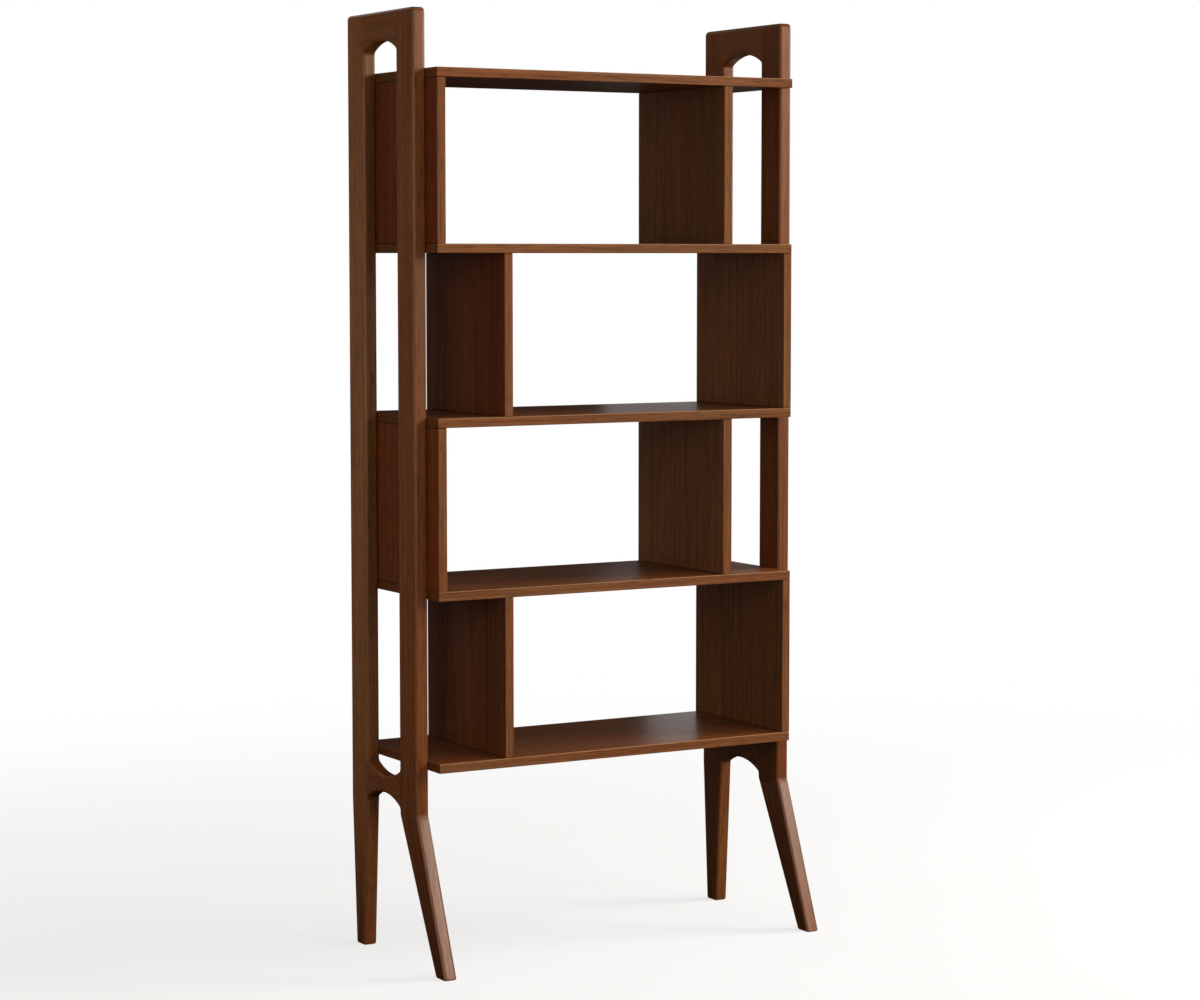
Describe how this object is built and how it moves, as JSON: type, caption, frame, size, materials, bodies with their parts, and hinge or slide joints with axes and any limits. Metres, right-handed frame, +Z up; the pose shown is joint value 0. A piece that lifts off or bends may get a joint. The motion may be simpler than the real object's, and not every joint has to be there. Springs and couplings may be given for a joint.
{
  "type": "zigzag bookshelf",
  "caption": "Tall open wooden bookshelf on splayed legs: shelves and dividers step in a zigzag between two arched, round-edged side frames.",
  "frame": {"origin": "on the floor, under the middle of the overall width and depth", "axes": "+X to the viewer's right, -Y to the front, where the splayed legs point, and +Z up"},
  "size_m": [0.85, 0.4, 1.825],
  "materials": {
    "frame_wood": "satin walnut stain",
    "shelf_wood": "satin walnut stain",
    "divider_wood": "satin walnut stain"
  },
  "bodies": {
    "root": {"left_front_post": "frame_wood", "left_rear_post": "frame_wood", "left_front_leg": "frame_wood", "left_rails": "frame_wood", "right_front_post": "frame_wood", "right_rear_post": "frame_wood", "right_front_leg": "frame_wood", "right_rails": "frame_wood", "bottom_shelf": "shelf_wood", "fourth_shelf": "shelf_wood", "third_shelf": "shelf_wood", "second_shelf": "shelf_wood", "top_shelf": "shelf_wood", "fourth_row_left_divider": "divider_wood", "fourth_row_right_divider": "divider_wood", "third_row_left_divider": "divider_wood", "third_row_right_divider": "divider_wood", "second_row_left_divider": "divider_wood", "second_row_right_divider": "divider_wood", "first_row_left_divider": "divider_wood", "first_row_right_divider": "divider_wood"}
  },
  "joints": []
}
